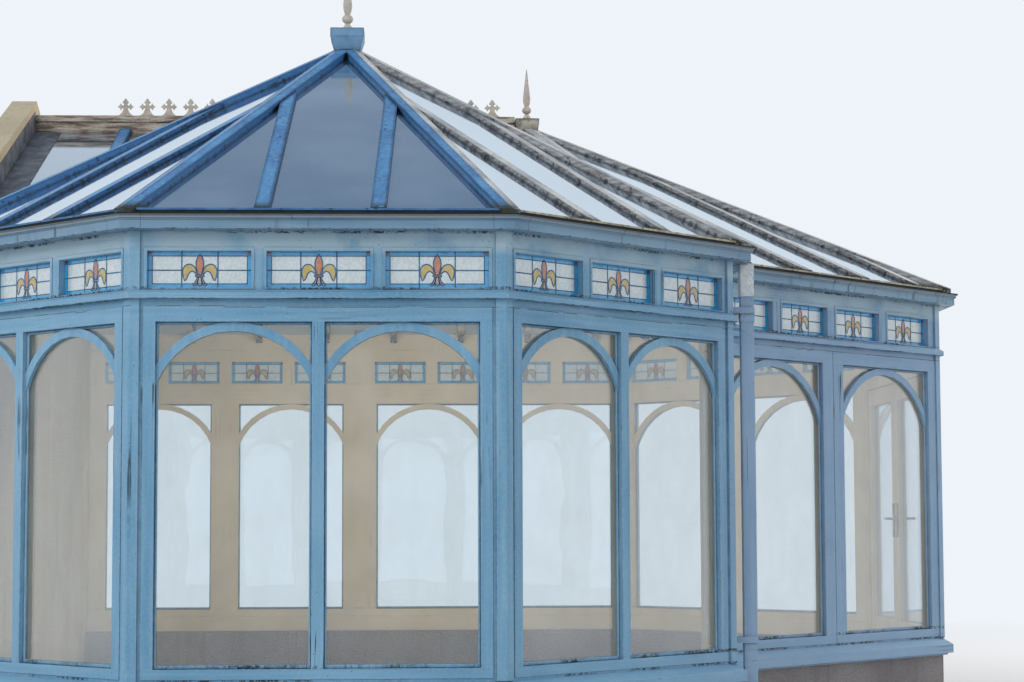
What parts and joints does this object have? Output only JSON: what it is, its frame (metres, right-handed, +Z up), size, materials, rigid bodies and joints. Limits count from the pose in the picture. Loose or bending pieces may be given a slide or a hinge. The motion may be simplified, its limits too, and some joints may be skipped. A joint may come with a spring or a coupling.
{
  "type": "octagonal timber conservatory",
  "caption": "Timber conservatory of two joined octagonal bays with arched windows, leaded lights under the eaves, a hipped glazed roof with finials, and french doors",
  "frame": {"origin": "on the ground, at the middle of the outer box", "axes": "+Z up, the front bay's middle window faces -Y, the french doors face +X"},
  "size_m": [5.6218, 7.0196, 4.067],
  "materials": {
    "painted_timber": "old white gloss paint, weathered and crazed, reading pale blue in shade",
    "painted_roof_timber": "old white paint, peeling and mildewed on the roof bars",
    "window_glass": "clear glazing",
    "roof_glass": "tinted roof glazing with a film of dirt",
    "leaded_glass": "leaded coloured lights",
    "render": "painted cement render",
    "floor": "tiled solid floor",
    "ridge_metal": "cast metal painted off-white",
    "gutter": "painted gutter",
    "lead": "dull grey sheet lead",
    "door_furniture": "dull brass"
  },
  "bodies": {
    "building": {"corner_posts": "painted_timber", "drip_rails_straight": "painted_timber", "drip_rails_diagonal": "painted_timber", "sills_straight": "painted_timber", "sills_diagonal": "painted_timber", "front_window_frame": "painted_timber", "front_left_window_frame": "painted_timber", "front_right_window_frame": "painted_timber", "return_window_frames": "painted_timber", "side_front_window_frame": "painted_timber", "side_rear_window_frame": "painted_timber", "rear_window_frames": "painted_timber", "door_transom_frame": "painted_timber", "door_jambs": "painted_timber", "window_arches_front_bay": "painted_timber", "window_arches_main_bay": "painted_timber", "roof_bars_front_bay": "painted_roof_timber", "roof_bars_main_bay": "painted_roof_timber", "roof_hips": "painted_roof_timber", "roof_valleys": "painted_roof_timber", "main_ridge": "painted_roof_timber", "front_ridge": "painted_roof_timber", "apex_boxes": "painted_roof_timber", "window_glass_front_bay": "window_glass", "window_glass_main_bay": "window_glass", "roof_glass_front_bay": "roof_glass", "roof_glass_main_bay": "roof_glass", "leaded_lights_front_bay": "leaded_glass", "leaded_lights_main_bay": "leaded_glass", "dwarf_walls_straight": "render", "dwarf_walls_diagonal": "render", "party_wall": "render", "floor_front_bay": "floor", "floor_main_bay": "floor", "door_threshold": "floor", "finials": "ridge_metal", "ridge_cresting": "ridge_metal", "gutters_straight": "gutter", "gutters_diagonal": "gutter", "downpipe": "gutter", "lead_flashing": "lead", "door_hinges": "door_furniture"},
    "door_left": {"door_leaf_left": "painted_timber", "door_glass_left": "window_glass", "door_hardware_left": "door_furniture"},
    "door_right": {"door_leaf_right": "painted_timber", "door_glass_right": "window_glass", "door_hardware_right": "door_furniture"}
  },
  "joints": [
    {"name": "left_door_hinge", "type": "hinge", "parent": "building", "child": "door_left", "pos_m": [2.69924, 0.11669, 1.2], "axis": [0, 0, -1], "range_deg": [0, 100]},
    {"name": "right_door_hinge", "type": "hinge", "parent": "building", "child": "door_right", "pos_m": [2.69924, 1.74469, 1.2], "axis": [0, 0, 1], "range_deg": [0, 100]}
  ]
}
